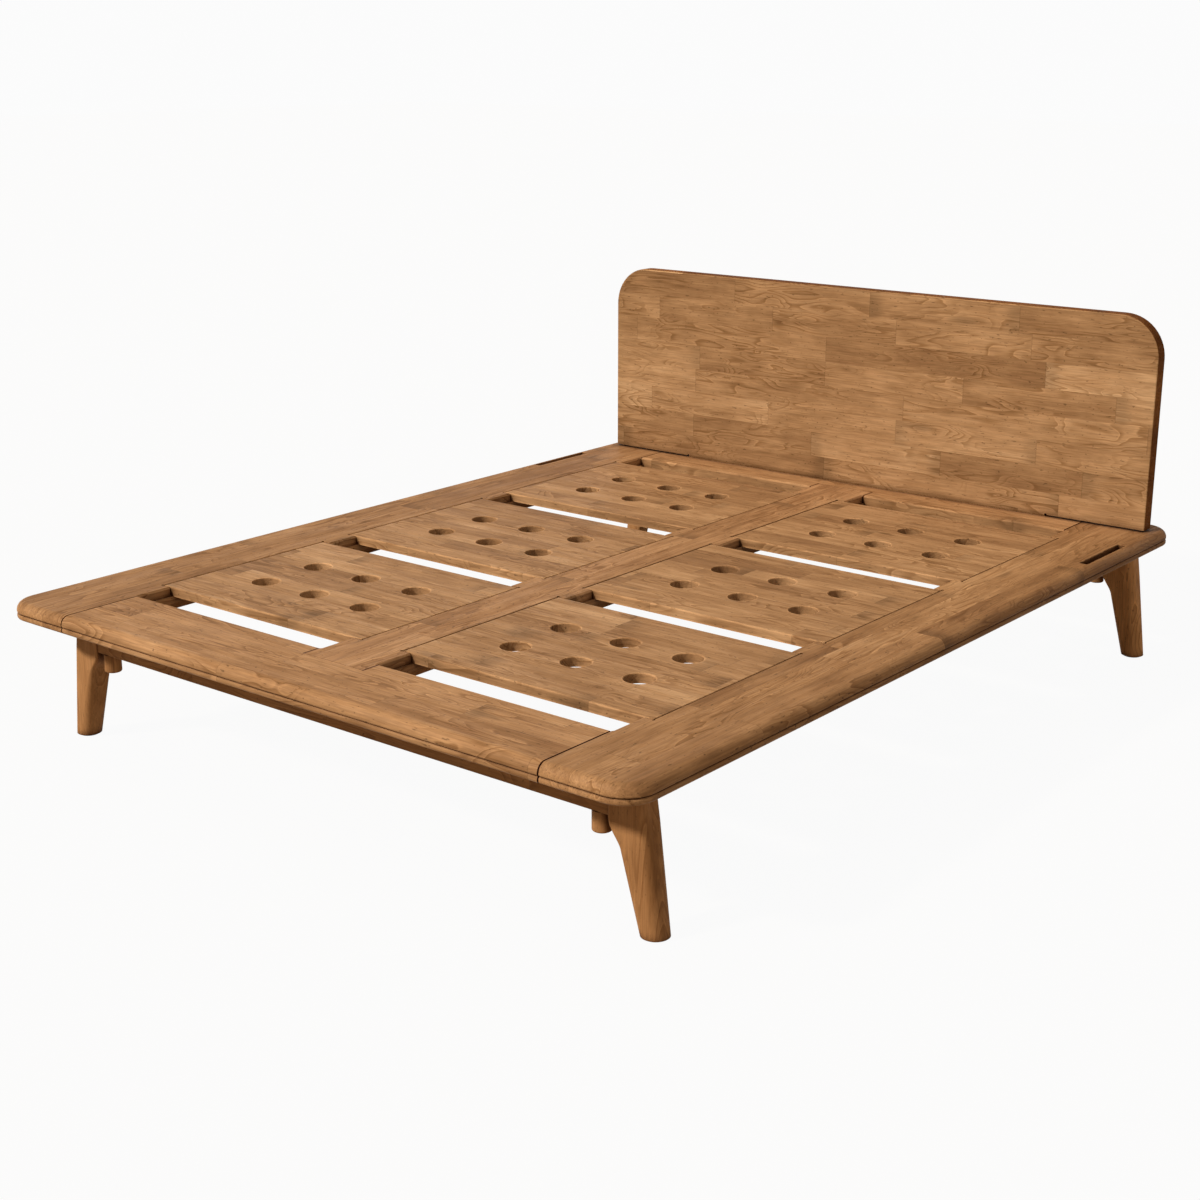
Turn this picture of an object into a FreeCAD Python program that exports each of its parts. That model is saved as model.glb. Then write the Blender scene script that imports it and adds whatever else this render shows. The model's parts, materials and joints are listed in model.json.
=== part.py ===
import FreeCAD, Part
import math
import os

# Wooden platform bed in millimetres: +Z up, +Y towards the headboard, +X to the right seen from the foot.
# The origin is on the floor under the middle of the platform.

# Platform: four wide boards round an opening, with a centre beam down the middle
opening_width = 1340.0
opening_length = 1824.0
ledge_width = 204.0
top_height = 340.0
board_thickness = 38.0
corner_radius = 65.0
edge_round = 21.0
quirk_drop = 24.0
quirk_round = 3.5
bead_round = 6.0
seam_gap = 0.8
arris = 1.2
seam_groove_depth = 1.5
seam_groove_width = 1.0
overcut = 1.0
beam_width = 166.0
lap_length = 46.0
lap_clearance = 0.5

# Slat panels and the pockets that they drop into
panel_thickness = 21.0
panel_gap = 91.5
pocket_depth = 25.0
panel_clearance = 2.0
shelf_reach = 6.0
relief_radius = 3.5
panel_ease = 3.0
bay_ease = 4.0
hole_diameter = 64.0
hole_pitch = 159.0
hole_columns = 3
hole_rows = 2
hole_ease = 2.0

# Long slots in the rails, near the head end
slot_width = 20.0
slot_length = 216.0
slot_depth = 20.0
slot_edge_distance = 30.0
slot_head_distance = 253.0
slot_corner = 3.0

# Headboard with a tongue that goes down through the head rail
headboard_side_inset = 37.0
headboard_rise = 535.0
headboard_thickness = 40.0
headboard_setback = 66.0
headboard_corner = 106.0
headboard_ease = 4.0
shoulder_gap = 4.0
shoulder_relief = 3.5
tongue_end_margin = 100.0
tongue_drop = 118.0
tongue_clearance = 0.5

# Legs, aprons, stretchers and keel
front_apron_inset = 42.0
leg_top_inset = 80.0
leg_foot_inset = 62.0
leg_depth = 56.0
leg_corner = 16.0
haunch_corner = 4.0
foot_diameter = 55.0
foot_flat = 0.5
flare_length = 56.0
shoulder_steps = 6
inner_taper = 0.225
apron_thickness = 36.0
apron_height = 86.0
apron_reveal = 4.0
apron_ease = 3.0
stretcher_width = 40.0
stretcher_height = 40.0
stretcher_ease = 3.0
keel_width = 60.0
keel_height = 40.0
tenon_thickness = 16.0
tenon_shoulder = 14.0
tenon_length = 34.0
stub_length = 14.0
stub_shoulder = 10.0
joint_clearance = 0.2
glide_thickness = 3.0
glide_diameter = 44.0

# Lock pegs with their studs and inserts
peg_diameter = 38.0
peg_length = 41.0
peg_round = 4.0
peg_leg_gap = 9.0
peg_seam_distance = 26.0
stud_diameter = 10.0
stud_in_peg = 26.0
insert_diameter = 16.0
insert_length = 18.0
thread_clearance = 0.1
stud_hole_clearance = 0.5

# Headboard bolts
bolt_diameter = 8.0
outer_bolt_distance = 110.0
inner_bolt_distance = 360.0
bolt_head_diameter = 15.0
bolt_head_height = 4.5
bolt_socket = 5.0
washer_diameter = 22.0
washer_thickness = 2.0
bolt_insert_diameter = 12.0
bolt_insert_length = 18.0

# Dowels and screws
dowel_diameter = 10.0
dowel_length = 60.0
dowel_chamfer = 1.5
seam_dowel_spacing = 44.0
lap_dowel_diameter = 8.0
lap_dowel_length = 22.0
lap_dowel_spacing = 96.0
dowel_clearance = 0.1
screw_diameter = 5.0
screw_head_diameter = 10.0
screw_length = 55.0
screw_clearance = 0.1
screws_per_member = 4
screw_end_distance = 180.0

# Names of the rows of panels, of the sides and of the corners
row_names = ("foot", "middle", "head")
side_names = {-1: "left", 1: "right"}
corner_names = {(-1, -1): "front_left", (1, -1): "front_right", (-1, 1): "rear_left", (1, 1): "rear_right"}

# Places that several pieces share
panel_count = len(row_names)
half_opening = opening_width / 2
half_seam = seam_gap / 2
rail_inner = half_opening + half_seam
half_length = opening_length / 2
outer_x = half_opening + ledge_width
outer_y = half_length + ledge_width
above_top = top_height + overcut
beyond_side = outer_x + overcut
beyond_end = outer_y + overcut
board_underside = top_height - board_thickness
seat_height = top_height - panel_thickness
half_beam = beam_width / 2
panel_depth = (opening_length - (panel_count + 1) * panel_gap) / panel_count
panel_pitch = panel_depth + panel_gap
pocket_outer = half_opening + pocket_depth
pocket_inner = half_beam - pocket_depth
bay_middle = (pocket_outer + pocket_inner) / 2
apron_underside = board_underside - apron_height
front_apron_back = -half_length - front_apron_inset
front_apron_face = front_apron_back - apron_thickness
front_leg_y = front_apron_face - apron_reveal + leg_depth / 2
headboard_back = outer_y - headboard_setback
headboard_front = headboard_back - headboard_thickness
rear_apron_back = headboard_back + apron_thickness
rear_leg_y = rear_apron_back + apron_reveal - leg_depth / 2
tongue_bottom = top_height - tongue_drop
half_tongue = half_opening - tongue_end_margin
half_headboard = outer_x - headboard_side_inset
peg_x = half_opening + peg_seam_distance
haunch_x = peg_x + peg_diameter / 2 + peg_leg_gap
leg_drop = board_underside - glide_thickness
foot_x = outer_x - leg_foot_inset
leg_top_outer = outer_x - leg_top_inset
stretcher_x = (haunch_x + leg_top_outer) / 2 - apron_reveal
keel_underside = board_underside - keel_height
stretcher_underside = board_underside - stretcher_height
apron_middle = {-1: (front_apron_face + front_apron_back) / 2, 1: (headboard_back + rear_apron_back) / 2}
leg_middle = {-1: front_leg_y, 1: rear_leg_y}

V = FreeCAD.Vector
ALONG_X = V(1, 0, 0)
ALONG_Y = V(0, 1, 0)
ALONG_Z = V(0, 0, 1)


def block(x, y, z):
    """Box between the low and high values given for each axis."""
    low = V(min(x), min(y), min(z))
    return Part.makeBox(max(x) - low.x, max(y) - low.y, max(z) - low.z, low)


def rod(diameter, length, start, direction):
    return Part.makeCylinder(diameter / 2, length, start, direction)


def limited(radius, wall):
    """Rounding that never takes more than its share of the wall it is cut from."""
    return min(radius, 0.45 * wall)


def rounded_outline(x, y, radii, z):
    """Closed wire of a rectangle with round corners, at height z. radii belong to the two x values in turn."""
    (x0, r0), (x1, r1) = sorted(zip(x, radii))
    y0, y1 = sorted(y)
    d0, d1 = (radius * (1 - math.sqrt(0.5)) for radius in (r0, r1))
    edges = []
    for start, middle, end, following in (
        ((x1 - r1, y0), (x1 - d1, y0 + d1), (x1, y0 + r1), (x1, y1 - r1)),
        ((x1, y1 - r1), (x1 - d1, y1 - d1), (x1 - r1, y1), (x0 + r0, y1)),
        ((x0 + r0, y1), (x0 + d0, y1 - d0), (x0, y1 - r0), (x0, y0 + r0)),
        ((x0, y0 + r0), (x0 + d0, y0 + d0), (x0 + r0, y0), (x1 - r1, y0)),
    ):
        edges.append(Part.Arc(V(*start, z), V(*middle, z), V(*end, z)).toShape())
        edges.append(Part.LineSegment(V(*end, z), V(*following, z)).toShape())
    return Part.Wire(edges)


def rounded_prism(x, y, radius, z):
    low, high = sorted(z)
    return Part.Face(rounded_outline(x, y, (radius, radius), low)).extrude(V(0, 0, high - low))


def flared_cutter(x, y, radius, flare):
    """Cutter that takes the arris off all round an opening in the top face."""
    x0, x1 = sorted(x)
    y0, y1 = sorted(y)
    grown = radius + 2 * flare
    low = rounded_outline((x0, x1), (y0, y1), (radius, radius), top_height - flare)
    high = rounded_outline((x0 - 2 * flare, x1 + 2 * flare), (y0 - 2 * flare, y1 + 2 * flare),
                           (grown, grown), top_height + flare)
    return Part.makeLoft([low, high], True, True)


def edges_at_height(shape, z):
    return [edge for edge in shape.Edges if all(abs(v.Z - z) < 1e-6 for v in edge.Vertexes)]


def straight_edges(shape, axis):
    return [edge for edge in shape.Edges
            if isinstance(edge.Curve, Part.Line) and abs(edge.Curve.Direction.dot(axis)) > 0.999]


def moulding_radii():
    """Radii of the upper round, of the lip above the groove and of the bead below it."""
    lip = limited(quirk_round, quirk_drop)
    upper = min(edge_round, quirk_drop - 1.1 * lip)
    return upper, lip, limited(bead_round, board_thickness - quirk_drop)


def moulded_platform():
    """Whole platform blank: upper layer with a big round, a groove, and a bead below it."""
    upper_round, lip_round, bead_curve = moulding_radii()
    quirk_height = top_height - quirk_drop
    x = (-outer_x, outer_x)
    y = (-outer_y, outer_y)
    upper = rounded_prism(x, y, corner_radius, (quirk_height, top_height))
    upper = upper.makeFillet(lip_round, edges_at_height(upper, quirk_height))
    upper = upper.makeFillet(upper_round, edges_at_height(upper, top_height))
    bead = rounded_prism(x, y, corner_radius, (board_underside, quirk_height))
    bead_edges = edges_at_height(bead, quirk_height) + edges_at_height(bead, board_underside)
    return upper.fuse(bead.makeFillet(bead_curve, bead_edges))


def moulding_profile(end, x):
    """Section of the moulded edge at the foot or head end, as a closed wire in a plane across X."""
    upper_round, lip_round, bead_curve = moulding_radii()
    quirk_height = top_height - quirk_drop
    inner = 2 * ledge_width

    def point(inset, z):
        return V(x, end * (outer_y - inset), z)

    def line(first, last):
        return Part.LineSegment(point(*first), point(*last)).toShape()

    def arc(radius, z_middle, first, last):
        points = []
        for turn in (first, (first + last) / 2, last):
            angle = math.radians(turn)
            points.append(point(radius - radius * math.cos(angle), z_middle + radius * math.sin(angle)))
        return Part.Arc(*points).toShape()

    return Part.Wire([
        line((inner, top_height), (upper_round, top_height)),
        arc(upper_round, top_height - upper_round, 90, 0),
        line((0, top_height - upper_round), (0, quirk_height + lip_round)),
        arc(lip_round, quirk_height + lip_round, 0, -90),
        line((lip_round, quirk_height), (bead_curve, quirk_height)),
        arc(bead_curve, quirk_height - bead_curve, 90, 0),
        line((0, quirk_height - bead_curve), (0, board_underside + bead_curve)),
        arc(bead_curve, board_underside + bead_curve, 0, -90),
        line((bead_curve, board_underside), (inner, board_underside)),
        line((inner, board_underside), (inner, top_height)),
    ])


def seam_groove(side, end, outward):
    """Cutter for the fine groove all round a seam, in a rail (outward 1) or a cross board (outward -1)."""
    seam = side * (half_opening + outward * half_seam)
    width = side * outward * seam_groove_width
    core = Part.Face(moulding_profile(end, seam).makeOffset2D(-seam_groove_depth, 2)).extrude(V(width, 0, 0))
    slab = block((seam, seam + width), (end * half_length, end * beyond_end),
                 (board_underside - overcut, above_top))
    return slab.cut(core)


def panel_front(row):
    return -half_length + panel_gap + row * panel_pitch


def pocket_cutters(side):
    """Space of each panel's pocket, with round reliefs at its four corners and its arris taken off."""
    cutters = []
    x = (side * pocket_inner, side * pocket_outer)
    for row in range(panel_count):
        y0 = panel_front(row) - panel_clearance
        y1 = panel_front(row) + panel_depth + panel_clearance
        cutters.append(block(x, (y0, y1), (seat_height, above_top)))
        cutters.append(flared_cutter(x, (y0, y1), relief_radius, arris))
        for x_corner in x:
            for y_corner in (y0, y1):
                foot = V(x_corner, y_corner, seat_height)
                cutters.append(rod(2 * relief_radius, panel_thickness + overcut, foot, ALONG_Z))
    bay = (side * half_beam, side * rail_inner)
    cutters.append(flared_cutter(bay, (-half_length, half_length), relief_radius, bay_ease))
    return cutters


def slat_panel(side, row):
    x = (side * (pocket_inner + panel_clearance), side * (pocket_outer - panel_clearance))
    y = (panel_front(row), panel_front(row) + panel_depth)
    panel = block(x, y, (seat_height, top_height))
    panel = panel.makeFillet(limited(panel_ease, panel_thickness), edges_at_height(panel, top_height))
    y_middle = panel_front(row) + panel_depth / 2
    rims = []
    for column in range(hole_columns):
        for line in range(hole_rows):
            x_hole = side * bay_middle + (column - (hole_columns - 1) / 2) * hole_pitch
            y_hole = y_middle + (line - (hole_rows - 1) / 2) * hole_pitch
            panel = panel.cut(rod(hole_diameter, panel_thickness, V(x_hole, y_hole, seat_height), ALONG_Z))
    for edge in edges_at_height(panel, top_height):
        if isinstance(edge.Curve, Part.Circle):
            rims.append(edge)
    return panel.makeFillet(limited(hole_ease, panel_thickness), rims)


def seam_dowel_places(end):
    """Middles of the dowels across the right-hand seam at one end, one on each side of the stud insert."""
    z = board_underside + board_thickness / 2
    return [V(half_opening, apron_middle[end] + step * seam_dowel_spacing / 2, z) for step in (-1, 1)]


def lap_dowel_places():
    z = seat_height - (board_thickness - panel_thickness) + overcut
    y = half_length + lap_length / 2
    return [V(x * lap_dowel_spacing / 2, end * y, z) for x in (-1, 1) for end in (-1, 1)]


def along_member(length_low, length_high):
    """Evenly spaced places along a member, a fixed distance in from its ends."""
    first = length_low + screw_end_distance
    step = (length_high - length_low - 2 * screw_end_distance) / (screws_per_member - 1)
    return [first + number * step for number in range(screws_per_member)]


def peg_place(side, end, z):
    return V(side * peg_x, apron_middle[end], z)


def cut_all(shape, cutters):
    for cutter in cutters:
        shape = shape.cut(cutter)
    return shape


def seam_dowel_holes(side, end):
    bore = dowel_diameter + 2 * dowel_clearance
    length = dowel_length + 2 * dowel_clearance
    return [rod(bore, length, V(side * p.x - length / 2, p.y, p.z), ALONG_X) for p in seam_dowel_places(end)]


def screw_at(x, y, underside):
    """Countersunk screw driven upwards from the underside of a member."""
    radius = screw_diameter / 2
    head = screw_head_diameter / 2
    tip = underside + screw_length
    profile = [V(0, 0, underside), V(head, 0, underside), V(radius, 0, underside + head - radius),
               V(radius, 0, tip - 2 * radius), V(0, 0, tip), V(0, 0, underside)]
    solid = Part.Face(Part.makePolygon(profile)).revolve(V(0, 0, 0), ALONG_Z, 360)
    solid.translate(V(x, y, 0))
    return solid


def screw_holes(x, ys, underside):
    """Countersunk holes that take the screws of one member with a little room all round."""
    radius = screw_diameter / 2 + screw_clearance
    head = screw_head_diameter / 2 + screw_clearance
    tip = underside + screw_length + screw_clearance
    profile = [V(0, 0, underside), V(head, 0, underside), V(radius, 0, underside + head - radius),
               V(radius, 0, tip), V(0, 0, tip), V(0, 0, underside)]
    hole = Part.Face(Part.makePolygon(profile)).revolve(V(0, 0, 0), ALONG_Z, 360)
    return [hole.translated(V(x, y, 0)) for y in ys]


def stretcher_span():
    return front_leg_y + leg_depth / 2, rear_leg_y - leg_depth / 2


def keel_span():
    return front_apron_back, headboard_back


def rail(side, blank):
    region = block((side * rail_inner, side * beyond_side), (-beyond_end, beyond_end), (0, above_top))
    solid = blank.common(region)
    shelf_end = half_length - half_seam
    shelf = block((side * (half_opening - shelf_reach), side * (rail_inner + overcut)), (-shelf_end, shelf_end),
                  (board_underside, seat_height))
    solid = solid.fuse(shelf).removeSplitter()
    slot_x = outer_x - slot_edge_distance
    slot_y = outer_y - slot_head_distance
    slot_sides = (side * (slot_x - slot_width / 2), side * (slot_x + slot_width / 2))
    slot_ends = (slot_y - slot_length, slot_y)
    cutters = pocket_cutters(side)
    cutters.append(rounded_prism(slot_sides, slot_ends, slot_corner, (top_height - slot_depth, above_top)))
    cutters.append(flared_cutter(slot_sides, slot_ends, slot_corner, arris))
    for end in (-1, 1):
        cutters += seam_dowel_holes(side, end)
        cutters.append(seam_groove(side, end, 1))
        seat = insert_diameter + 2 * thread_clearance
        cutters.append(rod(seat, insert_length, peg_place(side, end, board_underside), ALONG_Z))
    cutters += screw_holes(side * stretcher_x, along_member(*stretcher_span()), stretcher_underside)
    return cut_all(solid, cutters)


def cross_board(end, blank):
    """Foot board (end -1) or head rail (end 1) between the two rails."""
    inner = half_opening - half_seam
    solid = blank.common(block((-inner, inner), (end * half_length, end * beyond_end), (0, above_top)))
    lap_half = half_beam + lap_clearance
    lap_end = half_length + lap_length + lap_clearance
    lap_start = half_length - overcut
    cutters = [block((-lap_half, lap_half), (end * lap_start, end * lap_end), (seat_height, above_top))]
    for side in (-1, 1):
        cutters += seam_dowel_holes(side, end)
        cutters.append(seam_groove(side, end, -1))
        bay = (side * half_beam, side * rail_inner)
        cutters.append(flared_cutter(bay, (-half_length, half_length), relief_radius, bay_ease))
    for place in lap_dowel_places():
        cutters.append(rod(lap_dowel_diameter + 2 * dowel_clearance, lap_dowel_length, place, ALONG_Z))
    if end > 0:
        slot_half = half_tongue + tongue_clearance
        cutters.append(block((-slot_half, slot_half),
                             (headboard_front - tongue_clearance, headboard_back + tongue_clearance),
                             (0, above_top)))
    return cut_all(solid, cutters)


def centre_beam():
    lap_end = half_length + lap_length
    top = block((-half_beam, half_beam), (-lap_end, lap_end), (seat_height, top_height))
    shelf_half = half_beam + shelf_reach
    shelf = block((-shelf_half, shelf_half), (-half_length + half_seam, half_length - half_seam),
                  (board_underside, seat_height))
    solid = top.fuse(shelf).removeSplitter()
    cutters = pocket_cutters(-1) + pocket_cutters(1)
    for place in lap_dowel_places():
        cutters.append(rod(lap_dowel_diameter + 2 * dowel_clearance, lap_dowel_length, place, ALONG_Z))
    cutters += screw_holes(0, along_member(*keel_span()), keel_underside)
    return cut_all(solid, cutters)


def headboard():
    half = half_headboard
    shoulder = top_height + shoulder_gap
    top = top_height + headboard_rise
    bend = headboard_corner
    diagonal = bend * (1 - math.sqrt(0.5))
    y = headboard_front
    notch_half = keel_width / 2 + joint_clearance

    def line(a, b):
        return Part.LineSegment(V(a[0], y, a[1]), V(b[0], y, b[1])).toShape()

    def arc(a, b, c):
        return Part.Arc(V(a[0], y, a[1]), V(b[0], y, b[1]), V(c[0], y, c[1])).toShape()

    outline = Part.Wire([
        line((-half_tongue, tongue_bottom), (-half_tongue, shoulder)),
        line((-half_tongue, shoulder), (-half, shoulder)),
        line((-half, shoulder), (-half, top - bend)),
        arc((-half, top - bend), (-half + diagonal, top - diagonal), (-half + bend, top)),
        line((-half + bend, top), (half - bend, top)),
        arc((half - bend, top), (half - diagonal, top - diagonal), (half, top - bend)),
        line((half, top - bend), (half, shoulder)),
        line((half, shoulder), (half_tongue, shoulder)),
        line((half_tongue, shoulder), (half_tongue, tongue_bottom)),
        line((half_tongue, tongue_bottom), (-half_tongue, tongue_bottom)),
    ])
    solid = Part.Face(outline).extrude(V(0, headboard_thickness, 0))
    rounded = [edge for edge in solid.Edges
               if min(v.Z for v in edge.Vertexes) >= shoulder - 1e-6
               and abs(edge.Vertexes[0].Y - edge.Vertexes[1].Y) < 1e-6
               and max(v.Z for v in edge.Vertexes) > shoulder + overcut]
    solid = solid.makeFillet(limited(headboard_ease, headboard_thickness), rounded)
    cutters = [block((-notch_half, notch_half), (headboard_front - overcut, headboard_back + overcut),
                     (tongue_bottom - overcut, board_underside + joint_clearance))]
    for side in (-1, 1):
        relief = V(side * half_tongue, headboard_front - overcut, shoulder)
        cutters.append(rod(2 * shoulder_relief, headboard_thickness + 2 * overcut, relief, ALONG_Y))
    seat = bolt_insert_diameter + 2 * thread_clearance
    for place in bolt_places():
        start = V(place.x, headboard_back - bolt_insert_length, place.z)
        cutters.append(rod(seat, bolt_insert_length, start, ALONG_Y))
    return cut_all(solid, cutters)


def bolt_places():
    z = (tongue_bottom + board_underside) / 2
    distances = (outer_bolt_distance, inner_bolt_distance)
    return [V(side * (half_tongue - x), headboard_back, z) for x in distances for side in (-1, 1)]


def apron_tenons(end, room):
    """Tenons at both ends of an apron, or their mortises when room is given."""
    y = apron_middle[end]
    z = (apron_underside + tenon_shoulder - room, board_underside - tenon_shoulder + room)
    half = tenon_thickness / 2 + room
    reach = haunch_x + tenon_length + room
    return [block((side * (haunch_x - overcut), side * reach), (y - half, y + half), z) for side in (-1, 1)]


def keel_stubs(room):
    """Stub tenons at both ends of the keel, or their mortises when room is given."""
    half = keel_width / 2 - stub_shoulder + room
    z = (keel_underside + stub_shoulder - room, board_underside - stub_shoulder + room)
    front, back = keel_span()
    return [block((-half, half), (front + overcut, front - stub_length - room), z),
            block((-half, half), (back - overcut, back + stub_length + room), z)]


def stretcher_stubs(side, room):
    half = stretcher_width / 2 - stub_shoulder + room
    x = side * stretcher_x
    z = (stretcher_underside + stub_shoulder - room, board_underside - stub_shoulder + room)
    front, back = stretcher_span()
    return [block((x - half, x + half), (front + overcut, front - stub_length - room), z),
            block((x - half, x + half), (back - overcut, back + stub_length + room), z)]


def eased_beam(x, y, z, radius, axis):
    """Straight member whose two lower long edges are rounded."""
    beam = block(x, y, z)
    lower = [edge for edge in straight_edges(beam, axis) if abs(edge.Vertexes[0].Z - min(z)) < 1e-6]
    return beam.makeFillet(radius, lower)


def apron(end):
    y = apron_middle[end]
    solid = eased_beam((-haunch_x, haunch_x), (y - apron_thickness / 2, y + apron_thickness / 2),
                       (apron_underside, board_underside), limited(apron_ease, apron_thickness), ALONG_X)
    solid = solid.fuse(apron_tenons(end, 0)).removeSplitter()
    cutters = keel_stubs(joint_clearance)
    bore = stud_diameter + 2 * stud_hole_clearance
    for side in (-1, 1):
        cutters.append(rod(bore, apron_height, peg_place(side, end, apron_underside), ALONG_Z))
    if end > 0:
        bore = bolt_diameter + 2 * stud_hole_clearance
        cutters += [rod(bore, apron_thickness, place, ALONG_Y) for place in bolt_places()]
    return cut_all(solid, cutters)


def stretcher(side):
    x = side * stretcher_x
    span = stretcher_span()
    sides = (x - stretcher_width / 2, x + stretcher_width / 2)
    solid = eased_beam(sides, span, (stretcher_underside, board_underside),
                       limited(stretcher_ease, stretcher_width), ALONG_Y)
    solid = solid.fuse(stretcher_stubs(side, 0)).removeSplitter()
    return cut_all(solid, screw_holes(x, along_member(*span), stretcher_underside))


def beam_keel():
    span = keel_span()
    solid = eased_beam((-keel_width / 2, keel_width / 2), span, (keel_underside, board_underside),
                       limited(stretcher_ease, keel_width), ALONG_Y)
    solid = solid.fuse(keel_stubs(0)).removeSplitter()
    return cut_all(solid, screw_holes(0, along_member(*span), keel_underside))


def smooth_step(share):
    share = max(0.0, min(1.0, share))
    return share * share * (3 - 2 * share)


def leg_section(side, y_middle, drop):
    """Outline of a leg at a distance below the boards: broad block, curved shoulder, round foot."""
    share = drop / leg_drop
    taper_inner = foot_x - foot_diameter / 2 - inner_taper * (leg_drop - drop)
    flare = smooth_step((drop - apron_height) / flare_length)
    inner = haunch_x + (taper_inner - haunch_x) * flare
    outer = leg_top_outer + (foot_x + foot_diameter / 2 - leg_top_outer) * share
    half_depth = (leg_depth + (foot_diameter - leg_depth) * share) / 2
    rounding = max(0.0, (drop - apron_height) / (leg_drop - apron_height))
    foot_corner = foot_diameter / 2 - foot_flat
    corners = [corner + (foot_corner - corner) * rounding for corner in (haunch_corner, leg_corner)]
    return rounded_outline((side * inner, side * outer), (y_middle - half_depth, y_middle + half_depth),
                           corners, board_underside - drop)


def leg(side, end):
    y = leg_middle[end]
    shoulder_end = apron_height + flare_length
    shoulder_drops = [apron_height + flare_length * step / shoulder_steps for step in range(shoulder_steps + 1)]
    head = Part.makeLoft([leg_section(side, y, drop) for drop in (0, apron_height)], True, True)
    shoulder = Part.makeLoft([leg_section(side, y, drop) for drop in shoulder_drops], True, False)
    shaft = Part.makeLoft([leg_section(side, y, drop) for drop in (shoulder_end, leg_drop)], True, True)
    solid = head.fuse([shoulder, shaft])
    return cut_all(solid, apron_tenons(end, joint_clearance) + stretcher_stubs(side, joint_clearance))


def lock_peg(side, end):
    base = peg_place(side, end, apron_underside - peg_length)
    peg = rod(peg_diameter, peg_length, base, ALONG_Z)
    peg = peg.makeFillet(limited(peg_round, peg_length), edges_at_height(peg, base.z))
    hole = stud_diameter + 2 * thread_clearance
    return peg.cut(rod(hole, stud_in_peg, peg_place(side, end, apron_underside - stud_in_peg), ALONG_Z))


def peg_stud(side, end):
    length = stud_in_peg + apron_height + insert_length - overcut
    return rod(stud_diameter, length, peg_place(side, end, apron_underside - stud_in_peg), ALONG_Z)


def stud_insert(side, end):
    base = peg_place(side, end, board_underside)
    body = rod(insert_diameter, insert_length, base, ALONG_Z)
    return body.cut(rod(stud_diameter + 2 * thread_clearance, insert_length, base, ALONG_Z))


def headboard_bolt(place):
    """Button-head bolt driven in from behind the rear apron, with a hexagon socket."""
    back = rear_apron_back + washer_thickness
    tip = headboard_back - bolt_insert_length + overcut
    shank = rod(bolt_diameter, back - tip, V(place.x, tip, place.z), ALONG_Y)
    head = rod(bolt_head_diameter, bolt_head_height, V(place.x, back, place.z), ALONG_Y)
    crown = back + bolt_head_height
    rim = [edge for edge in head.Edges if all(abs(v.Y - crown) < 1e-6 for v in edge.Vertexes)]
    head = head.makeFillet(bolt_head_height / 2, rim)
    corner = bolt_socket / math.sqrt(3)
    turns = [math.radians(60 * number) for number in range(7)]
    hexagon = [V(place.x + corner * math.cos(a), back + bolt_head_height / 3, place.z + corner * math.sin(a))
               for a in turns]
    socket = Part.Face(Part.makePolygon(hexagon)).extrude(V(0, bolt_head_height, 0))
    return shank.fuse(head).removeSplitter().cut(socket)


def headboard_washer(place):
    base = V(place.x, rear_apron_back, place.z)
    hole = rod(bolt_diameter + 2 * thread_clearance, washer_thickness, base, ALONG_Y)
    return rod(washer_diameter, washer_thickness, base, ALONG_Y).cut(hole)


def headboard_insert(place):
    base = V(place.x, headboard_back - bolt_insert_length, place.z)
    hole = rod(bolt_diameter + 2 * thread_clearance, bolt_insert_length, base, ALONG_Y)
    return rod(bolt_insert_diameter, bolt_insert_length, base, ALONG_Y).cut(hole)


def dowel(diameter, length, start, direction):
    pin = rod(diameter, length, start, direction)
    rims = [edge for edge in pin.Edges if isinstance(edge.Curve, Part.Circle)]
    return pin.makeChamfer(limited(dowel_chamfer, diameter / 2), rims)


def seam_dowels():
    pins = []
    for side in (-1, 1):
        for end in (-1, 1):
            for place in seam_dowel_places(end):
                start = V(side * place.x - dowel_length / 2, place.y, place.z)
                pins.append(dowel(dowel_diameter, dowel_length, start, ALONG_X))
    return Part.makeCompound(pins)


def foot_glide(side, end):
    return rod(glide_diameter, glide_thickness, V(side * foot_x, leg_middle[end], 0), ALONG_Z)


def build():
    """Every node of the bed by name."""
    blank = moulded_platform()
    corners = list(corner_names)
    nodes = {
        "foot_board": cross_board(-1, blank),
        "head_rail": cross_board(1, blank),
        "centre_beam": centre_beam(),
        "beam_keel": beam_keel(),
        "headboard": headboard(),
        "front_apron": apron(-1),
        "rear_apron": apron(1),
    }
    for side, name in side_names.items():
        nodes[name + "_rail"] = rail(side, blank)
        nodes[name + "_stretcher"] = stretcher(side)
        for row in range(panel_count):
            nodes[f"slat_panel_{name}_{row_names[row]}"] = slat_panel(side, row)
    for corner, name in corner_names.items():
        nodes["leg_" + name] = leg(*corner)
        nodes["lock_peg_" + name] = lock_peg(*corner)
    bolts = bolt_places()
    laps = lap_dowel_places()
    keel_screw_ys = along_member(*keel_span())
    stretcher_screw_ys = along_member(*stretcher_span())
    groups = {
        "peg_studs": [peg_stud(*corner) for corner in corners],
        "stud_inserts": [stud_insert(*corner) for corner in corners],
        "foot_glides": [foot_glide(*corner) for corner in corners],
        "headboard_bolts": [headboard_bolt(place) for place in bolts],
        "headboard_washers": [headboard_washer(place) for place in bolts],
        "headboard_inserts": [headboard_insert(place) for place in bolts],
        "lap_dowels": [dowel(lap_dowel_diameter, lap_dowel_length, place, ALONG_Z) for place in laps],
        "keel_screws": [screw_at(0, y, keel_underside) for y in keel_screw_ys],
        "stretcher_screws": [screw_at(side * stretcher_x, y, stretcher_underside)
                             for side in side_names for y in stretcher_screw_ys],
    }
    for name, solids in groups.items():
        nodes[name] = Part.makeCompound(solids)
    nodes["seam_dowels"] = seam_dowels()
    return nodes


os.makedirs("parts", exist_ok=True)
for node_name, node_shape in build().items():
    node_shape.exportStep(f"parts/{node_name}.step")
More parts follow.
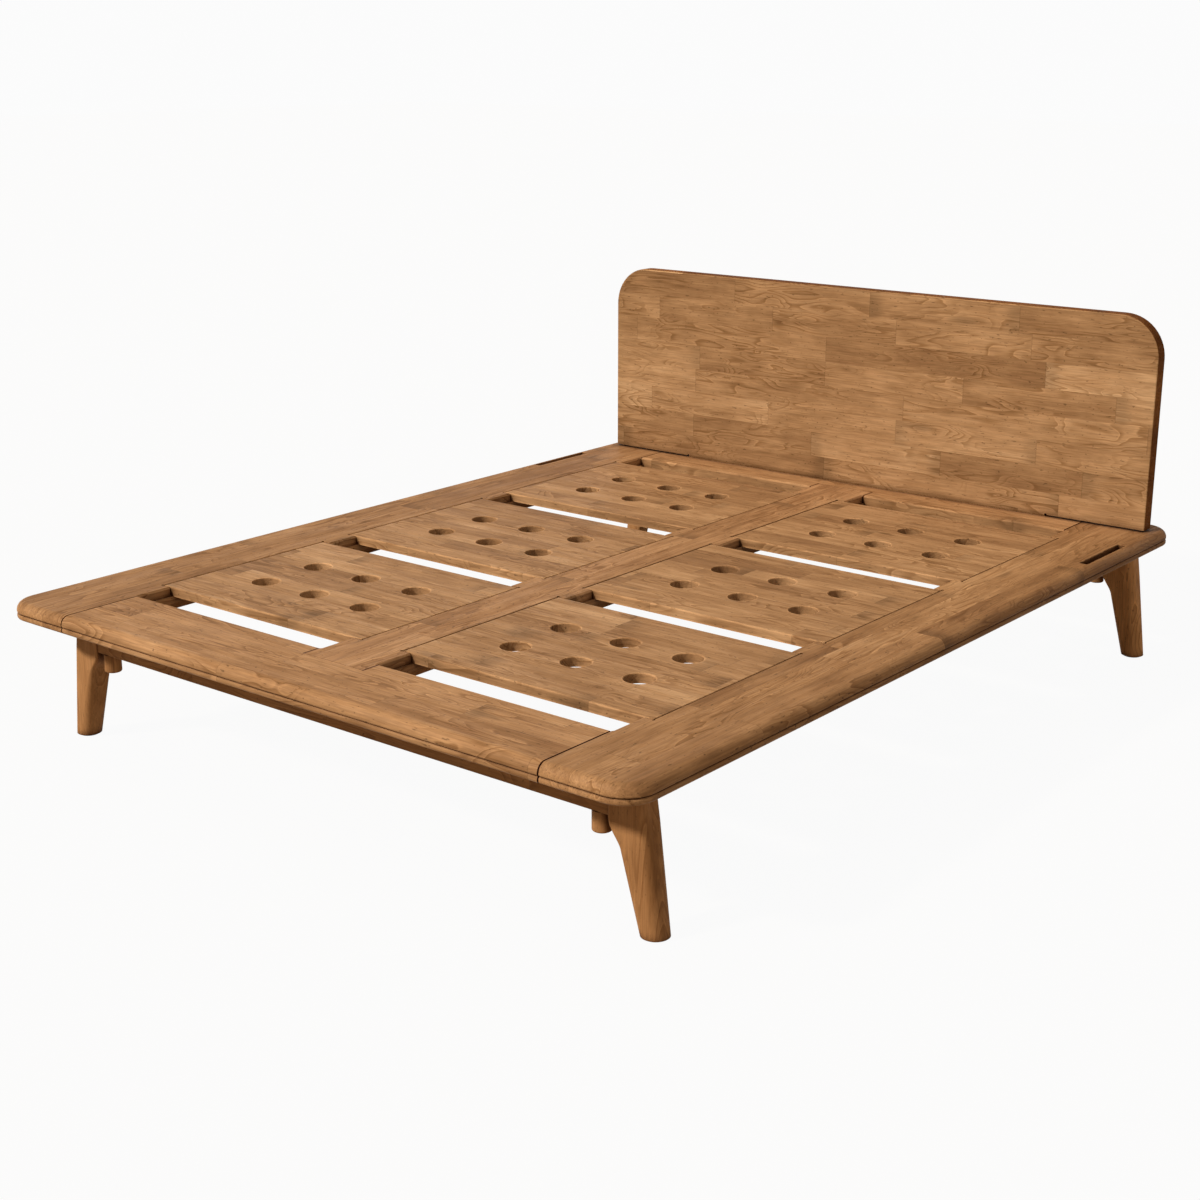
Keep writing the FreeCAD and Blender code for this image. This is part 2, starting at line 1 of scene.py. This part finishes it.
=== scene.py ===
import bpy
import json
import math
import operator
from types import SimpleNamespace
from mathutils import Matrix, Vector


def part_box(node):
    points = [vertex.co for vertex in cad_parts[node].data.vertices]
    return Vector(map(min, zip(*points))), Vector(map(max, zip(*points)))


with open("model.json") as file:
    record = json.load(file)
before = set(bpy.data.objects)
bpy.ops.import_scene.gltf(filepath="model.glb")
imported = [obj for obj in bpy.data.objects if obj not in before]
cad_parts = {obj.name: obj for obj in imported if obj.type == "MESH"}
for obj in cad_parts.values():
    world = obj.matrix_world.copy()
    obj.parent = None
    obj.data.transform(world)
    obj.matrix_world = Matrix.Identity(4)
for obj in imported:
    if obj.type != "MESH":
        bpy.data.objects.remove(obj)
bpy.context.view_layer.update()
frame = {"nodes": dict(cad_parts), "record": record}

# Joint lines, in metres, dark and partly painted shade of the gaps: the seams at the ends of the cross
# boards, and the sides of the centre beam's let-in ends, which are narrower than its box. A line is full up
# to its half width and gone at LINE_FADE
cross_board_corner, beam_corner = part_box("foot_board")[1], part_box("centre_beam")[1]
SEAM_SIDE, SEAM_START = cross_board_corner.x + 0.0004, -cross_board_corner.y
LAP_SIDE, LAP_END = 0.0850, beam_corner.y + 0.0005
SEAM_HALF_WIDTH, LAP_HALF_WIDTH, LINE_FADE, LINE_END_FADE = 0.0012, 0.0015, 0.0032, 0.002
LEFT_SEAM_STRENGTH = 0.6

# Staves: lengths as shares of the mean, the shift that puts a stave's edge on the rails' inner sides, and
# how far the staves are shifted from row to row and the figure from stave to stave, in metres
SHORTEST_STAVE, LONGEST_STAVE = 0.65, 1.35
MIRRORED_STAVE_SHIFT = 0.0096
ROW_SHIFT = 9.0
FIGURE_SHIFTS = (7.0, 5.0, 3.0)
FEWEST_RINGS, MOST_RINGS = 8.0, 15.0

# Repeats per metre of each pattern in the wood: along the grain, across it and into the board
KNOT_CELLS = (2.4, 10.0, 10.0)
RING_FIELD = (2.6, 19.0, 12.0)
CURLS = (9.0, 15.0, 11.0)
CURLED_PATCHES = (3.2, 7.0, 7.0)
FIGURED_PATCHES = (4.0, 13.0, 13.0)
STREAKS = (3.4, 46.0, 46.0)
MINERAL_STREAKS = (1.9, 27.0, 27.0)
FIBRES = (14.0, 300.0, 300.0)
DASHES = (58.0, 250.0, 250.0)
SPECKS = (130.0, 200.0, 200.0)
CLOUDS = (7.0, 15.0, 15.0)

# Shades that multiply the wood's own tone
PLAIN = (1.0, 1.0, 1.0)
BETWEEN_RINGS, RING_SHADE = (1.02, 1.02, 1.02), (0.67, 0.61, 0.53)
MINERAL_SHADE = (0.78, 0.75, 0.72)
# Dark joint lines, partly painted shade of the gaps
JOINT_AND_GAP_SHADE = (0.19, 0.10, 0.05)
# Painted shade in corners, creases and holes
PAINTED_CORNER_SHADE = (0.16, 0.085, 0.035)
FLECK_SHADE, KNOT_SHADE, BURNT_END_SHADE = 0.48, 0.70, 0.76
# Painted highlight along each stave's lower edge, and the dark glue line along its upper edge
LOWER_EDGE_HIGHLIGHT, UPPER_EDGE_SHADE = 1.10, 0.80

# How far the painted corner shade reaches and how wide the painted arris highlight or shade is, and the
# relief of the grain, in metres
CORNER_REACH, ARRIS_REACH, GRAIN_RELIEF = 0.024, 0.005, 0.0009

# Camera fitted to the photograph: metres, degrees and millimetres
CAMERA_PLACE = (2.6283, -3.3795, 1.5292)
CAMERA_TILT, CAMERA_TURN = 73.2805, 38.824
CAMERA_SENSOR, CAMERA_LENS = 36.0, 56.455

# The floor and the backdrop show white, and light the bed as a dim warm room does
WHITE = (1, 1, 1, 1)
FLOOR_REACH, FLOOR_COLOR, FLOOR_WHITE_SHARE = 30, (0.36, 0.31, 0.25, 1), 0.95
ROOM_COLOR, ROOM_STRENGTH, BACKDROP_STRENGTH = (1.0, 0.85, 0.68, 1), 0.18, 0.968


class Graph:
    """Short way to write a node tree: sockets and plain numbers can be mixed as inputs."""

    def __init__(self, tree):
        self.tree = tree

    def put(self, socket, value):
        if isinstance(value, bpy.types.NodeSocket):
            self.tree.links.new(value, socket)
        else:
            socket.default_value = value

    def node(self, kind, inputs=None, **settings):
        made = self.tree.nodes.new(kind)
        for name, value in settings.items():
            setattr(made, name, value)
        for key, value in (inputs or {}).items():
            self.put(made.inputs[key], value)
        return made

    def math(self, operation, first, second=0.0, third=0.0):
        inputs = {0: first, 1: second, 2: third}
        return self.node("ShaderNodeMath", inputs, operation=operation).outputs[0]

    def product(self, first, *others):
        for other in others:
            first = self.math("MULTIPLY", first, other)
        return first

    def added(self, start, *terms):
        """start plus value times strength for each (value, strength) pair."""
        for value, strength in terms:
            start = self.math("MULTIPLY_ADD", value, strength, start)
        return start

    def spread(self, random, low, high):
        """A random value from 0 to 1, spread from low to high."""
        return self.math("MULTIPLY_ADD", random, high - low, low)

    def combine(self, x, y, z):
        return self.node("ShaderNodeCombineXYZ", {0: x, 1: y, 2: z}).outputs[0]

    def split(self, vector):
        return self.node("ShaderNodeSeparateXYZ", {0: vector}).outputs

    def stretched(self, point, repeats):
        return self.combine(*(self.math("MULTIPLY", place, count) for place, count in zip(point, repeats)))

    def noise(self, vector, scale, detail, roughness=0.5, distortion=0.0):
        inputs = {"Vector": vector, "Scale": scale, "Detail": detail, "Roughness": roughness,
                  "Distortion": distortion}
        return self.node("ShaderNodeTexNoise", inputs).outputs["Fac"]

    def pattern(self, point, repeats, detail, roughness=0.5, distortion=0.0):
        """Noise drawn out along the grain, with that many repeats per metre each way."""
        return self.noise(self.stretched(point, repeats), 1.0, detail, roughness, distortion)

    def smooth(self, value, low, high, to_low=0.0, to_high=1.0):
        inputs = {"Value": value, "From Min": low, "From Max": high, "To Min": to_low, "To Max": to_high}
        return self.node("ShaderNodeMapRange", inputs, interpolation_type="SMOOTHSTEP").outputs["Result"]

    def ramp(self, value, stops):
        made = self.node("ShaderNodeValToRGB", {"Fac": value})
        elements = made.color_ramp.elements
        elements[0].position, elements[0].color = stops[0][0], (*stops[0][1], 1)
        elements[1].position, elements[1].color = stops[-1][0], (*stops[-1][1], 1)
        for position, color in stops[1:-1]:
            elements.new(position).color = (*color, 1)
        return made.outputs["Color"]

    def mix(self, factor, first, second, blend="MIX"):
        made = self.node("ShaderNodeMix", data_type="RGBA", blend_type=blend)
        for key, value in ((0, factor), (6, first), (7, second)):
            self.put(made.inputs[key], value)
        return made.outputs[2]

    def shaded(self, color, value, stops, strength=1.0):
        """color times the ramp's colour at value, at that strength."""
        return self.mix(strength, color, self.ramp(value, stops), "MULTIPLY")

    def dimmed(self, color, factor):
        return self.mix(1.0, color, self.combine(factor, factor, factor), "MULTIPLY")

    def occlusion(self, distance, samples, inside=False):
        inputs = {"Distance": distance}
        made = self.node("ShaderNodeAmbientOcclusion", inputs, samples=samples, inside=inside)
        return made.outputs["AO"]

    def raise_surface(self, shader, height, strength, distance):
        bump = self.node("ShaderNodeBump", {"Height": height, "Strength": strength, "Distance": distance})
        self.put(shader.inputs["Normal"], bump.outputs["Normal"])


def new_material(name):
    material = bpy.data.materials.new(name)
    material.use_nodes = True
    graph = Graph(material.node_tree)
    return material, graph, material.node_tree.nodes["Principled BSDF"]


def stave_layout(graph, along, across, key, width, length):
    """The glued stave at a point: row, number, and distances to its lower, upper and nearer end edge."""
    row_place = graph.math("DIVIDE", across, width)
    row = graph.math("FLOOR", row_place)
    row_key = graph.math("ADD", row, key)
    row_noise = graph.node("ShaderNodeTexWhiteNoise", {"W": row_key}, noise_dimensions="1D")
    row_random = row_noise.outputs["Value"]
    row_length = graph.product(graph.spread(row_random, SHORTEST_STAVE, LONGEST_STAVE), length)
    place = graph.math("DIVIDE", graph.added(along, (row_random, ROW_SHIFT)), row_length)
    number = graph.math("FLOOR", place)
    lower = graph.product(graph.math("FRACT", row_place), width)
    upper = graph.math("SUBTRACT", width, lower)
    start = graph.product(graph.math("FRACT", place), row_length)
    end = graph.math("MINIMUM", start, graph.math("SUBTRACT", row_length, start))
    return SimpleNamespace(row=row, number=number, lower=lower, upper=upper, end=end)


def knots(graph, point):
    """0 to 1 round a few scattered knots, which the grain bends about."""
    cells = graph.node("ShaderNodeTexVoronoi", {"Vector": graph.stretched(point, KNOT_CELLS), "Scale": 1.0})
    chosen = graph.split(cells.outputs["Color"])[0]
    near = graph.smooth(cells.outputs["Distance"], 0.42, 0.0)
    return graph.product(near, graph.math("GREATER_THAN", chosen, 0.55))


def growth_rings(graph, point, knot, random):
    """The dark ring lines, and the pale wood after each: contour lines of a field that is drawn out along
    the grain, curls in patches and swells at knots."""
    curls = graph.pattern(point, CURLS, 1.5)
    curled = graph.smooth(graph.pattern(point, CURLED_PATCHES, 1.0), 0.47, 0.58)
    field = graph.pattern(point, RING_FIELD, 2.0, 0.45, 0.35)
    field = graph.added(field, (graph.product(curls, curled), 0.34), (knot, 0.22))
    phase = graph.math("FRACT", graph.product(field, graph.spread(random, FEWEST_RINGS, MOST_RINGS)))
    line = graph.product(graph.smooth(phase, 0.42, 0.90), graph.smooth(phase, 1.0, 0.94))
    pale = graph.smooth(phase, 0.20, 0.02)
    figured = graph.smooth(graph.pattern(point, FIGURED_PATCHES, 2.0), 0.42, 0.60, 0.12, 1.0)
    return graph.product(line, figured), graph.product(pale, figured)


def fine_figure(graph, point, figure):
    """Streaks, mineral streaks, fibres, flecks and clouds."""
    mineral = graph.pattern(point, MINERAL_STREAKS, 4.0, 0.6)
    dashes = graph.smooth(graph.pattern(point, DASHES, 1.0), 0.685, 0.745)
    specks = graph.smooth(graph.pattern(point, SPECKS, 0.0), 0.775, 0.83)
    return SimpleNamespace(
        streaks=graph.pattern(point, STREAKS, 5.0, 0.62, 0.5),
        mineral=graph.smooth(mineral, 0.57, 0.72),
        fibres=graph.pattern(point, FIBRES, 2.0, 0.6),
        flecks=graph.product(graph.math("MAXIMUM", dashes, specks), figure ** 2),
        clouds=graph.pattern(point, CLOUDS, 4.0, 0.6),
    )


def tone_level(graph, random, fine, figure, contrast):
    """Place on the ramp of tones: most staves lie near the middle, and a few well off it."""
    patterns = (random, fine.streaks, fine.clouds)
    stave, streaks, clouds = (graph.math("SUBTRACT", value, 0.5) for value in patterns)
    cubed = graph.product(stave, stave, stave)
    return graph.added(0.5, (stave, 0.22 * contrast), (cubed, 1.9 * contrast),
                       (streaks, 1.25 * figure), (clouds, 1.5 * figure))


def stave_edges(graph, layout, random):
    """Each stave has a painted highlight along its lower edge and a dark glue line along its upper edge,
    and some darken towards their ends.
    """
    dark_side = graph.math("MINIMUM", layout.upper, layout.end)
    burnt = graph.product(graph.smooth(layout.end, 0.060, 0.004), graph.smooth(random, 0.62, 0.80))
    return graph.product(
        graph.smooth(layout.lower, 0.0008, 0.0030, LOWER_EDGE_HIGHLIGHT, 1.0),
        graph.smooth(dark_side, 0.0004, 0.0016, UPPER_EDGE_SHADE, 1.0),
        graph.smooth(burnt, 0.0, 1.0, 1.0, BURNT_END_SHADE))


def joint_lines_and_gap_shade(graph, x, y):
    """1 along the sides of the centre beam's let-in ends and along the right seams of the cross boards, and
    less along the left seams."""
    side, end = graph.math("ABSOLUTE", x), graph.math("ABSOLUTE", y)
    off_lap = graph.math("ABSOLUTE", graph.math("SUBTRACT", side, LAP_SIDE))
    off_seam = graph.math("ABSOLUTE", graph.math("SUBTRACT", side, SEAM_SIDE))
    lap = graph.product(
        graph.smooth(off_lap, LINE_FADE, LAP_HALF_WIDTH),
        graph.smooth(end, LAP_END + LINE_END_FADE, LAP_END))
    seam = graph.product(
        graph.smooth(off_seam, LINE_FADE, SEAM_HALF_WIDTH),
        graph.smooth(end, SEAM_START - LINE_END_FADE, SEAM_START),
        graph.smooth(x, -0.1, 0.1, LEFT_SEAM_STRENGTH, 1.0))
    return graph.math("MAXIMUM", lap, seam)


def painted_corner_shade_and_arris_light(graph, color, arris_light):
    """Painted shade darkens corners, creases, holes and gaps between parts, and the arris factor paints a
    highlight on arrises when above 1 and shade when below 1.
    """
    color = graph.shaded(color, graph.occlusion(CORNER_REACH, 6), [(0.36, PAINTED_CORNER_SHADE), (0.92, PLAIN)])
    arris = graph.occlusion(ARRIS_REACH, 4, inside=True)
    return graph.dimmed(color, graph.smooth(arris, 0.96, 0.55, 1.0, arris_light))


def wood(name, axes, stave, tones, seed, mirrored=0.0, joined=False, figure=1.0, contrast=1.0, narrow_face_light=PLAIN,
         arris_light=0.8, shine=0.3):
    """Oiled wood of glued staves. axes gives the grain, across and depth axes as letters, and stave the
    width and mean length of a stave. mirrored is added to the seed on the right, and joined draws the dark
    joint lines, which carry painted shade of the gaps too. figure is the strength of the grain, and
    contrast that of the difference between staves.
    The factor for narrow faces paints light or shade on them, the factor for arrises paints a highlight on
    them when above 1 and shade when below 1, and shine is the specular level."""
    material, graph, shader = new_material(name)
    surface = graph.node("ShaderNodeTexCoord").outputs
    place = graph.split(surface["Object"])
    along, across, depth = (place["XYZ".index(letter)] for letter in axes)
    facing = graph.split(surface["Normal"])["XYZ".index(axes[2])]
    key = seed
    if mirrored:
        key = graph.added(seed, (graph.math("GREATER_THAN", across, 0.0), mirrored))
        across = graph.math("ADD", graph.math("ABSOLUTE", across), MIRRORED_STAVE_SHIFT)
    layout = stave_layout(graph, along, across, key, *stave)
    stave_key = graph.combine(layout.row, layout.number, key)
    random = graph.node("ShaderNodeTexWhiteNoise", {"Vector": stave_key})
    shuffle = graph.split(random.outputs["Color"])
    shifts = zip((along, across, depth), shuffle, FIGURE_SHIFTS)
    point = [graph.added(start, (share, shift)) for start, share, shift in shifts]

    knot = knots(graph, point)
    rings, pale = growth_rings(graph, point, knot, shuffle[2])
    fine = fine_figure(graph, point, figure)
    color = graph.ramp(tone_level(graph, random.outputs["Value"], fine, figure, contrast), tones)
    color = graph.shaded(color, rings, [(0.0, BETWEEN_RINGS), (1.0, RING_SHADE)], figure)
    color = graph.shaded(color, fine.mineral, [(0.0, PLAIN), (1.0, MINERAL_SHADE)], figure)
    # Narrow faces get painted light or painted shade by their factor: the rails' sides lighter, the
    # headboard's rim darker
    broad = graph.smooth(graph.math("ABSOLUTE", facing), 0.30, 0.85)
    color = graph.shaded(color, broad, [(0.0, narrow_face_light), (1.0, PLAIN)])
    if joined:
        # Dark joint lines, partly painted shade of the gaps between boards
        joint = joint_lines_and_gap_shade(graph, place[0], place[1])
        color = graph.shaded(color, joint, [(0.0, PLAIN), (1.0, JOINT_AND_GAP_SHADE)])
    color = graph.dimmed(color, graph.product(
        graph.smooth(fine.fibres, 0.28, 0.72, 1.0 - 0.18 * figure, 1.0 + 0.15 * figure),
        graph.smooth(fine.flecks, 0.0, 1.0, 1.0, FLECK_SHADE),
        graph.smooth(pale, 0.0, 1.0, 1.0, 1.0 + 0.16 * figure),
        graph.smooth(knot, 0.72, 1.0, 1.0, KNOT_SHADE),
        stave_edges(graph, layout, shuffle[1])))
    # Base colour with painted corner shade and painted arris light
    graph.put(shader.inputs["Base Color"], painted_corner_shade_and_arris_light(graph, color, arris_light))

    step = graph.smooth(layout.upper, 0.0, 0.0010)
    height = graph.added(0.0, (rings, -0.3), (fine.fibres, 0.35), (step, 0.5), (fine.flecks, -0.5))
    graph.raise_surface(shader, height, 0.35, GRAIN_RELIEF)
    graph.put(shader.inputs["Roughness"], graph.smooth(fine.streaks, 0.3, 0.7, 0.64, 0.50))
    shader.inputs["IOR"].default_value = 1.2
    shader.inputs["Specular IOR Level"].default_value = shine
    return material


def plated_metal(name, color, roughness):
    """Plated or plain metal with fine turning marks and uneven shine."""
    material, graph, shader = new_material(name)
    place = graph.node("ShaderNodeTexCoord").outputs["Object"]
    patches = graph.noise(place, 160.0, 4.0)
    base = graph.node("ShaderNodeRGB").outputs[0]
    base.default_value = (*color, 1)
    color = graph.dimmed(base, graph.smooth(patches, 0.3, 0.7, 0.82, 1.05))
    graph.put(shader.inputs["Base Color"], color)
    uneven = graph.smooth(patches, 0.3, 0.7, roughness + 0.1, roughness - 0.05)
    graph.put(shader.inputs["Roughness"], uneven)
    graph.raise_surface(shader, graph.noise(place, 2400.0, 2.0), 0.1, 0.0003)
    shader.inputs["Metallic"].default_value = 1.0
    return material


def moulded_nylon(name):
    """Dark plastic with a fine moulded grain."""
    material, graph, shader = new_material(name)
    place = graph.node("ShaderNodeTexCoord").outputs["Object"]
    grain = graph.noise(place, 1800.0, 3.0)
    color = graph.ramp(grain, [(0.3, (0.035, 0.033, 0.03)), (0.7, (0.06, 0.056, 0.05))])
    graph.put(shader.inputs["Base Color"], color)
    graph.put(shader.inputs["Roughness"], graph.smooth(grain, 0.3, 0.7, 0.62, 0.5))
    graph.raise_surface(shader, grain, 0.2, 0.0004)
    return material


def even(shade):
    """The same shade for red, green and blue."""
    return (shade, shade, shade)


def tones_times(tones, factors):
    return [(stop, tuple(map(operator.mul, color, factors))) for stop, color in tones]


# Tones from the darkest to the palest
board_tones = [(0.0, (0.270, 0.127, 0.051)), (0.3, (0.335, 0.164, 0.067)), (0.55, (0.405, 0.204, 0.086)),
               (0.8, (0.465, 0.241, 0.105)), (1.0, (0.530, 0.285, 0.130))]
leg_tones = [(0.0, (0.286, 0.125, 0.043)), (0.5, (0.380, 0.174, 0.062)), (1.0, (0.484, 0.233, 0.089))]
dowel_tones = [(0.0, (0.42, 0.27, 0.14)), (1.0, (0.58, 0.40, 0.23))]
rail_tones = tones_times(board_tones, (0.87, 0.855, 0.81))
cross_tones = tones_times(board_tones, (1.01, 1.01, 0.98))
beam_tones = tones_times(board_tones, (0.97, 0.96, 0.95))
panel_tones = tones_times(board_tones, (0.98, 1.01, 1.02))
headboard_tones = tones_times(board_tones, (1.00, 1.07, 1.11))
# Paler tones for the rear right leg: painted light in place of the light that its shade lacks
painted_lit_leg_tones = tones_times(leg_tones, even(1.48))

# Width and mean length of the staves, in metres. Legs, pegs and dowels are smaller than theirs
long_stave, cross_stave = (0.068, 0.62), (0.068, 0.66)
panel_stave, headboard_stave = (0.061, 0.46), (0.067, 0.56)
under_frame_stave, leg_stave, dowel_stave = (0.2, 0.9), (0.34, 2.0), (0.2, 2.0)

slot_materials = {
    "rail_wood": wood("rail_wood", "YXZ", long_stave, rail_tones, 19.5, mirrored=41.5, joined=True,
                      figure=0.92, narrow_face_light=even(1.12), arris_light=1.1),
    "cross_wood": wood("cross_wood", "XYZ", cross_stave, cross_tones, 9.4, joined=True,
                       figure=0.9, narrow_face_light=even(0.92), arris_light=1.2, shine=0.36),
    "panel_wood": wood("panel_wood", "XYZ", panel_stave, panel_tones, 42.6,
                       figure=0.88, narrow_face_light=even(0.98), arris_light=1.5),
    "headboard_wood": wood("headboard_wood", "XZY", headboard_stave, headboard_tones, 18.8,
                           figure=0.85, contrast=1.35, narrow_face_light=(0.48, 0.30, 0.14), arris_light=1.2, shine=0.05),
    "leg_wood": wood("leg_wood", "ZXY", leg_stave, leg_tones, 12.4, figure=0.7),
    "peg_wood": wood("peg_wood", "ZXY", leg_stave, leg_tones, 6.0, figure=0.7),
    "frame_wood": wood("frame_wood", "XYZ", under_frame_stave, leg_tones, 14.4, figure=0.8),
    "dowel_wood": wood("dowel_wood", "XYZ", dowel_stave, dowel_tones, 8.0, figure=0.6),
    "zinc_steel": plated_metal("zinc_steel", (0.62, 0.63, 0.65), 0.35),
    "insert_brass": plated_metal("insert_brass", (0.72, 0.55, 0.28), 0.4),
    "glide_nylon": moulded_nylon("glide_nylon"),
}

# Pieces whose grain or tone differs from that of the other pieces of their slot
lengthwise_wood = wood("lengthwise_wood", "YXZ", under_frame_stave, leg_tones, 9.0, figure=0.8)
node_materials = {
    "left_stretcher": lengthwise_wood,
    "right_stretcher": lengthwise_wood,
    "beam_keel": lengthwise_wood,
    "centre_beam": wood("beam_wood", "YXZ", long_stave, beam_tones, 25.8, mirrored=20.0),
    # The rear right leg is paler: painted light, as it stands in the bed's shadow
    "leg_rear_right": wood("painted_lit_leg_wood", "ZXY", leg_stave, painted_lit_leg_tones, 15.7, figure=0.8),
}

for subpart in frame["record"]["subparts"]:
    node = frame["nodes"][subpart["node"]]
    material = node_materials.get(subpart["node"], slot_materials[subpart["material_slot"]])
    node.data.materials.clear()
    node.data.materials.append(material)


def seen_directly(graph):
    """1 for rays from the camera, in mirrors and through glass; 0 for the light that falls on things."""
    rays = graph.node("ShaderNodeLightPath").outputs
    direct = graph.math("MAXIMUM", rays["Is Camera Ray"], rays["Is Glossy Ray"])
    return graph.math("MAXIMUM", direct, rays["Is Transmission Ray"])


def add_floor():
    """Pale floor that shows white with a faint shadow."""
    mesh = bpy.data.meshes.new("floor")
    corners = ((-1, -1), (1, -1), (1, 1), (-1, 1))
    mesh.from_pydata([(x * FLOOR_REACH, y * FLOOR_REACH, 0) for x, y in corners], [], [(0, 1, 2, 3)])
    floor = bpy.data.objects.new("floor", mesh)
    bpy.context.scene.collection.objects.link(floor)
    material, graph, shader = new_material("floor")
    shader.inputs["Base Color"].default_value = FLOOR_COLOR
    shader.inputs["Roughness"].default_value = 0.9
    shader.inputs["Specular IOR Level"].default_value = 0.0
    white = graph.node("ShaderNodeEmission", {"Color": WHITE, "Strength": 1.0})
    share = graph.product(seen_directly(graph), FLOOR_WHITE_SHARE)
    blend = graph.node("ShaderNodeMixShader", {0: share, 1: shader.outputs[0], 2: white.outputs[0]})
    output = material.node_tree.nodes["Material Output"]
    graph.put(output.inputs["Surface"], blend.outputs[0])
    mesh.materials.append(material)


def add_world():
    """Backdrop that is white to look at and gives a little warm light."""
    world = bpy.data.worlds.new("studio")
    bpy.context.scene.world = world
    world.use_nodes = True
    graph = Graph(world.node_tree)
    background = world.node_tree.nodes["Background"]
    seen = seen_directly(graph)
    strength = graph.smooth(seen, 0.0, 1.0, ROOM_STRENGTH, BACKDROP_STRENGTH)
    graph.put(background.inputs["Strength"], strength)
    graph.put(background.inputs["Color"], graph.mix(seen, ROOM_COLOR, WHITE))


def add_light(name, tilt, turn, strength, softness):
    """Studio light far off. In degrees: tilt from straight overhead, turn, and softness, its width."""
    light = bpy.data.lights.new(name, "SUN")
    light.energy = strength
    light.angle = math.radians(softness)
    lamp = bpy.data.objects.new(name, light)
    lamp.rotation_euler = (math.radians(tilt), 0.0, math.radians(turn))
    bpy.context.scene.collection.objects.link(lamp)


def add_camera():
    camera = bpy.data.cameras.new("camera")
    camera.sensor_width = CAMERA_SENSOR
    camera.lens = CAMERA_LENS
    eye = bpy.data.objects.new("camera", camera)
    eye.location = CAMERA_PLACE
    eye.rotation_euler = (math.radians(CAMERA_TILT), 0.0, math.radians(CAMERA_TURN))
    bpy.context.scene.collection.objects.link(eye)
    bpy.context.scene.camera = eye


add_floor()
add_world()
add_light("key", tilt=52.8, turn=-26.9, strength=3.2, softness=5)
add_light("overhead", tilt=12.0, turn=-26.9, strength=0.68, softness=60)
add_light("fill", tilt=75.0, turn=80.0, strength=0.25, softness=30)
add_camera()
bpy.context.scene.view_settings.view_transform = "Standard"
